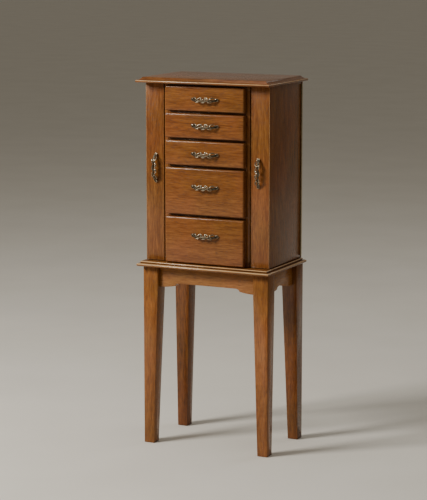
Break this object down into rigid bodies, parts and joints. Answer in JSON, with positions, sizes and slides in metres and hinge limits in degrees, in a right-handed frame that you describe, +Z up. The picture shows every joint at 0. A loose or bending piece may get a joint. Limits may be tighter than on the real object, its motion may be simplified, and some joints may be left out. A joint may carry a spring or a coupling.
{
  "type": "jewelry armoire",
  "caption": "Free-standing wooden jewelry armoire on tapered legs, with flip-top mirror lid, ring tray, overlay drawers with scroll pulls and swing-out side doors.",
  "frame": {"origin": "on the floor, under the centre of the lid and base moulding's rectangular footprint", "axes": "+X to the viewer's right when facing the drawers, +Y from the drawer fronts towards the back, +Z up"},
  "size_m": [0.395, 0.26, 1.016],
  "materials": {
    "walnut_wood": "satin lacquer over stained straight-grained veneer",
    "inner_wood": "thin matt lacquer",
    "antique_brass": "antiqued cast metal, dark in its hollows and rubbed bright on its high parts",
    "hinge_steel": "dull brass plate on steel",
    "catch_magnet": "satin",
    "felt": "short dense pile",
    "mirror": "polished"
  },
  "bodies": {
    "case": {"leg_front_left": "walnut_wood", "leg_front_right": "walnut_wood", "leg_back_left": "walnut_wood", "leg_back_right": "walnut_wood", "apron_front": "walnut_wood", "apron_back": "walnut_wood", "apron_left": "walnut_wood", "apron_right": "walnut_wood", "base_moulding": "walnut_wood", "case_bottom": "walnut_wood", "case_top": "walnut_wood", "case_back": "walnut_wood", "partition_left": "walnut_wood", "partition_right": "walnut_wood", "drawer_divider_1": "walnut_wood", "drawer_divider_2": "walnut_wood", "drawer_divider_3": "walnut_wood", "drawer_divider_4": "walnut_wood", "ring_tray": "inner_wood", "tray_dividers": "inner_wood", "ring_rolls": "felt", "lid_hinge_case_leaf": "hinge_steel", "lid_hinge_pin": "hinge_steel", "door_left_hinge_case_leaf": "hinge_steel", "door_left_hinge_pin": "hinge_steel", "door_right_hinge_case_leaf": "hinge_steel", "door_right_hinge_pin": "hinge_steel", "catch_left": "catch_magnet", "catch_right": "catch_magnet"},
    "lid": {"lid_panel": "walnut_wood", "lid_mirror": "mirror", "mirror_frame": "walnut_wood", "lid_hinge_leaf": "hinge_steel"},
    "door_left": {"door_left_stile": "walnut_wood", "door_left_panel": "walnut_wood", "door_left_hinge_leaf": "hinge_steel", "door_left_hook_rail": "inner_wood", "door_left_pouch": "felt", "door_left_pull": "antique_brass"},
    "door_right": {"door_right_stile": "walnut_wood", "door_right_panel": "walnut_wood", "door_right_hinge_leaf": "hinge_steel", "door_right_hook_rail": "inner_wood", "door_right_pouch": "felt", "door_right_pull": "antique_brass"},
    "drawer_1": {"drawer_1_front": "walnut_wood", "drawer_1_box": "inner_wood", "drawer_1_pull": "antique_brass"},
    "drawer_2": {"drawer_2_front": "walnut_wood", "drawer_2_box": "inner_wood", "drawer_2_pull": "antique_brass"},
    "drawer_3": {"drawer_3_front": "walnut_wood", "drawer_3_box": "inner_wood", "drawer_3_pull": "antique_brass"},
    "drawer_4": {"drawer_4_front": "walnut_wood", "drawer_4_box": "inner_wood", "drawer_4_pull": "antique_brass"},
    "drawer_5": {"drawer_5_front": "walnut_wood", "drawer_5_box": "inner_wood", "drawer_5_pull": "antique_brass"}
  },
  "joints": [
    {"name": "lid_hinge", "type": "hinge", "parent": "case", "child": "lid", "pos_m": [0, 0.1268, 0.9992], "axis": [-1, 0, 0], "range_deg": [0, 100]},
    {"name": "door_left_hinge", "type": "hinge", "parent": "case", "child": "door_left", "pos_m": [-0.1861, 0.115, 0.757], "axis": [0, 0, -1], "range_deg": [0, 100]},
    {"name": "door_right_hinge", "type": "hinge", "parent": "case", "child": "door_right", "pos_m": [0.1861, 0.115, 0.757], "axis": [0, 0, 1], "range_deg": [0, 100]},
    {"name": "drawer_1_slide", "type": "slide", "parent": "case", "child": "drawer_1", "axis": [0, -1, 0], "range_m": [0, 0.14]},
    {"name": "drawer_2_slide", "type": "slide", "parent": "case", "child": "drawer_2", "axis": [0, -1, 0], "range_m": [0, 0.14]},
    {"name": "drawer_3_slide", "type": "slide", "parent": "case", "child": "drawer_3", "axis": [0, -1, 0], "range_m": [0, 0.14]},
    {"name": "drawer_4_slide", "type": "slide", "parent": "case", "child": "drawer_4", "axis": [0, -1, 0], "range_m": [0, 0.14]},
    {"name": "drawer_5_slide", "type": "slide", "parent": "case", "child": "drawer_5", "axis": [0, -1, 0], "range_m": [0, 0.14]}
  ]
}
